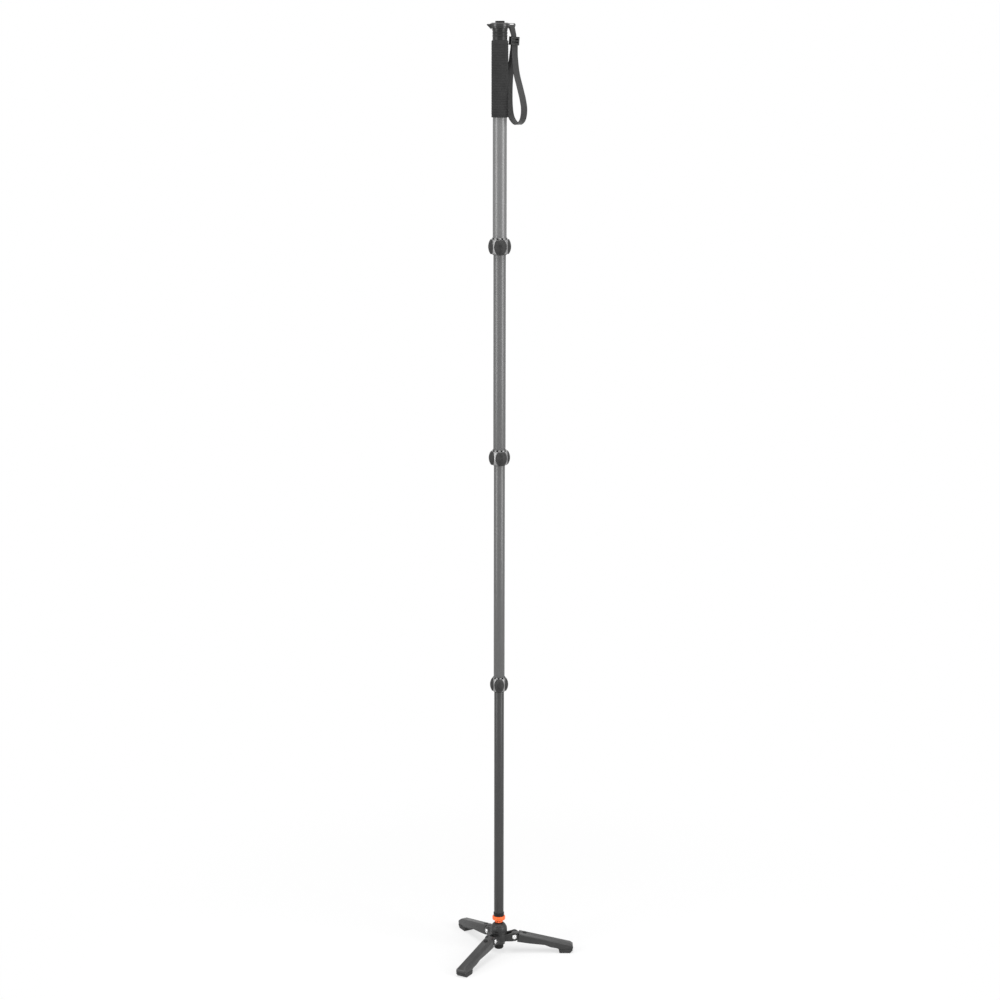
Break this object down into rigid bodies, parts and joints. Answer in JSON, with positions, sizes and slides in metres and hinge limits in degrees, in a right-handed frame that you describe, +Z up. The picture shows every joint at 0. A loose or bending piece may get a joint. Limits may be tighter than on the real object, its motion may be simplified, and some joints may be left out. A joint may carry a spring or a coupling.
{
  "type": "camera monopod",
  "caption": "Telescoping camera monopod with twist locks, a ball base with folding legs, a ribbed grip, a camera platform and a wrist strap.",
  "frame": {"origin": "middle of the centre foot's sole, on the pole axis, 8.5 mm above the floor that the toes stand on", "axes": "+Z up the pole; +X along the first leg's heading"},
  "size_m": [0.2575, 0.2972, 2.0225],
  "materials": {
    "tube": "satin",
    "lock_metal": "satin",
    "dark_metal": "satin",
    "leg": "satin",
    "plate": "satin",
    "orange": "satin",
    "steel": "polished",
    "rubber": "matte",
    "grip": "matte",
    "plastic": "matte",
    "webbing": "matte"
  },
  "bodies": {
    "base": {"hub_body": "dark_metal", "hub_dome": "dark_metal", "seat_spring": "steel", "centre_foot": "rubber", "foot_stud": "steel", "pivot_bolts": "steel", "pivot_nuts": "steel", "pivot_washers": "plastic"},
    "pan": {"ball_seat": "plastic"},
    "pole_4": {"ball_stem": "lock_metal", "end_ferrule": "dark_metal", "end_plug": "lock_metal", "tube_4": "tube", "guide_shims_4": "plastic"},
    "tilt_plug": {"tilt_plug": "orange"},
    "tilt_ring": {"tilt_lock_ring": "orange"},
    "pole_3": {"tube_3": "tube", "guide_shims_3": "plastic", "lock_sleeve_3": "lock_metal"},
    "pole_2": {"tube_2": "tube", "guide_shims_2": "plastic", "lock_sleeve_2": "lock_metal"},
    "pole_1": {"tube_1": "tube", "lock_sleeve_1": "lock_metal", "grip": "grip", "neck_collar": "dark_metal", "top_plate": "plate", "platform_pad": "rubber", "thread_bush": "steel"},
    "strap": {"strap_tether": "webbing", "strap_buckle": "plastic", "strap_loop": "webbing"},
    "leg_1": {"leg_beam_1": "leg", "toe_pad_1": "rubber", "button_spring_1": "steel"},
    "button_1": {"leg_button_1": "dark_metal"},
    "leg_2": {"leg_beam_2": "leg", "toe_pad_2": "rubber", "button_spring_2": "steel"},
    "button_2": {"leg_button_2": "dark_metal"},
    "leg_3": {"leg_beam_3": "leg", "toe_pad_3": "rubber", "button_spring_3": "steel"},
    "button_3": {"leg_button_3": "dark_metal"},
    "collet_1": {"collet_1": "plastic"},
    "lock_1": {"lock_collar_1": "lock_metal", "lock_pads_1": "rubber", "dust_seal_1": "rubber"},
    "collet_2": {"collet_2": "plastic"},
    "lock_2": {"lock_collar_2": "lock_metal", "lock_pads_2": "rubber", "dust_seal_2": "rubber"},
    "collet_3": {"collet_3": "plastic"},
    "lock_3": {"lock_collar_3": "lock_metal", "lock_pads_3": "rubber", "dust_seal_3": "rubber"}
  },
  "joints": [
    {"name": "leg_1_fold", "type": "hinge", "parent": "base", "child": "leg_1", "pos_m": [0.0346, 0, 0.0295], "axis": [0, 1, 0], "range_deg": [-100, 0]},
    {"name": "button_1_press", "type": "slide", "parent": "leg_1", "child": "button_1", "axis": [0.2211, 0, 0.9753], "range_m": [-0.0012, 0], "stiffness_N_per_m": 900, "deforming": ["button_spring_1"]},
    {"name": "leg_2_fold", "type": "hinge", "parent": "base", "child": "leg_2", "pos_m": [-0.0173, 0.02996, 0.0295], "axis": [-0.866, -0.5, 0], "range_deg": [-100, 0]},
    {"name": "button_2_press", "type": "slide", "parent": "leg_2", "child": "button_2", "axis": [-0.1105, 0.1914, 0.9753], "range_m": [-0.0012, 0], "stiffness_N_per_m": 900, "deforming": ["button_spring_2"]},
    {"name": "leg_3_fold", "type": "hinge", "parent": "base", "child": "leg_3", "pos_m": [-0.0173, -0.02996, 0.0295], "axis": [0.866, -0.5, 0], "range_deg": [-100, 0]},
    {"name": "button_3_press", "type": "slide", "parent": "leg_3", "child": "button_3", "axis": [-0.1105, -0.1914, 0.9753], "range_m": [-0.0012, 0], "stiffness_N_per_m": 900, "deforming": ["button_spring_3"]},
    {"name": "pan_turn", "type": "hinge", "parent": "base", "child": "pan", "pos_m": [0, 0, 0.0445], "axis": [0, 0, 1], "continuous": true},
    {"name": "pole_tilt", "type": "hinge", "parent": "pan", "child": "pole_4", "pos_m": [0, 0, 0.0445], "axis": [0, 1, 0], "range_deg": [0, 12]},
    {"name": "plug_slide", "type": "slide", "parent": "pole_4", "child": "tilt_plug", "axis": [0, 0, 1], "range_m": [-0.0035, 0]},
    {"name": "ring_turn", "type": "hinge", "parent": "tilt_plug", "child": "tilt_ring", "pos_m": [0, 0, 0.06727], "axis": [0, 0, 1], "range_deg": [-360, 0]},
    {"name": "tube_3_slide", "type": "slide", "parent": "pole_4", "child": "pole_3", "axis": [0, 0, 1], "range_m": [-0.495, 0]},
    {"name": "tube_2_slide", "type": "slide", "parent": "pole_3", "child": "pole_2", "axis": [0, 0, 1], "range_m": [-0.445, 0]},
    {"name": "tube_1_slide", "type": "slide", "parent": "pole_2", "child": "pole_1", "axis": [0, 0, 1], "range_m": [-0.33, 0]},
    {"name": "collet_1_slide", "type": "slide", "parent": "pole_1", "child": "collet_1", "axis": [0, 0, -1], "range_m": [0, 0.000666]},
    {"name": "lock_1_turn", "type": "hinge", "parent": "collet_1", "child": "lock_1", "pos_m": [0, 0, 1.53937], "axis": [0, 0, -1], "range_deg": [0, 120]},
    {"name": "collet_2_slide", "type": "slide", "parent": "pole_2", "child": "collet_2", "axis": [0, 0, -1], "range_m": [0, 0.000666]},
    {"name": "lock_2_turn", "type": "hinge", "parent": "collet_2", "child": "lock_2", "pos_m": [0, 0, 1.09337], "axis": [0, 0, -1], "range_deg": [0, 120]},
    {"name": "collet_3_slide", "type": "slide", "parent": "pole_3", "child": "collet_3", "axis": [0, 0, -1], "range_m": [0, 0.000666]},
    {"name": "lock_3_turn", "type": "hinge", "parent": "collet_3", "child": "lock_3", "pos_m": [0, 0, 0.59437], "axis": [0, 0, -1], "range_deg": [0, 120]},
    {"name": "strap_swing", "type": "hinge", "parent": "pole_1", "child": "strap", "pos_m": [0.02365, 0.01536, 2.00337], "axis": [-0.8387, -0.5446, 0], "range_deg": [0, 70]}
  ],
  "couplings": [
    {"joint": "ring_turn", "follows": "plug_slide", "rad_per_m": 1795.2},
    {"joint": "lock_1_turn", "follows": "collet_1_slide", "rad_per_m": 3141.6},
    {"joint": "lock_2_turn", "follows": "collet_2_slide", "rad_per_m": 3141.6},
    {"joint": "lock_3_turn", "follows": "collet_3_slide", "rad_per_m": 3141.6}
  ]
}
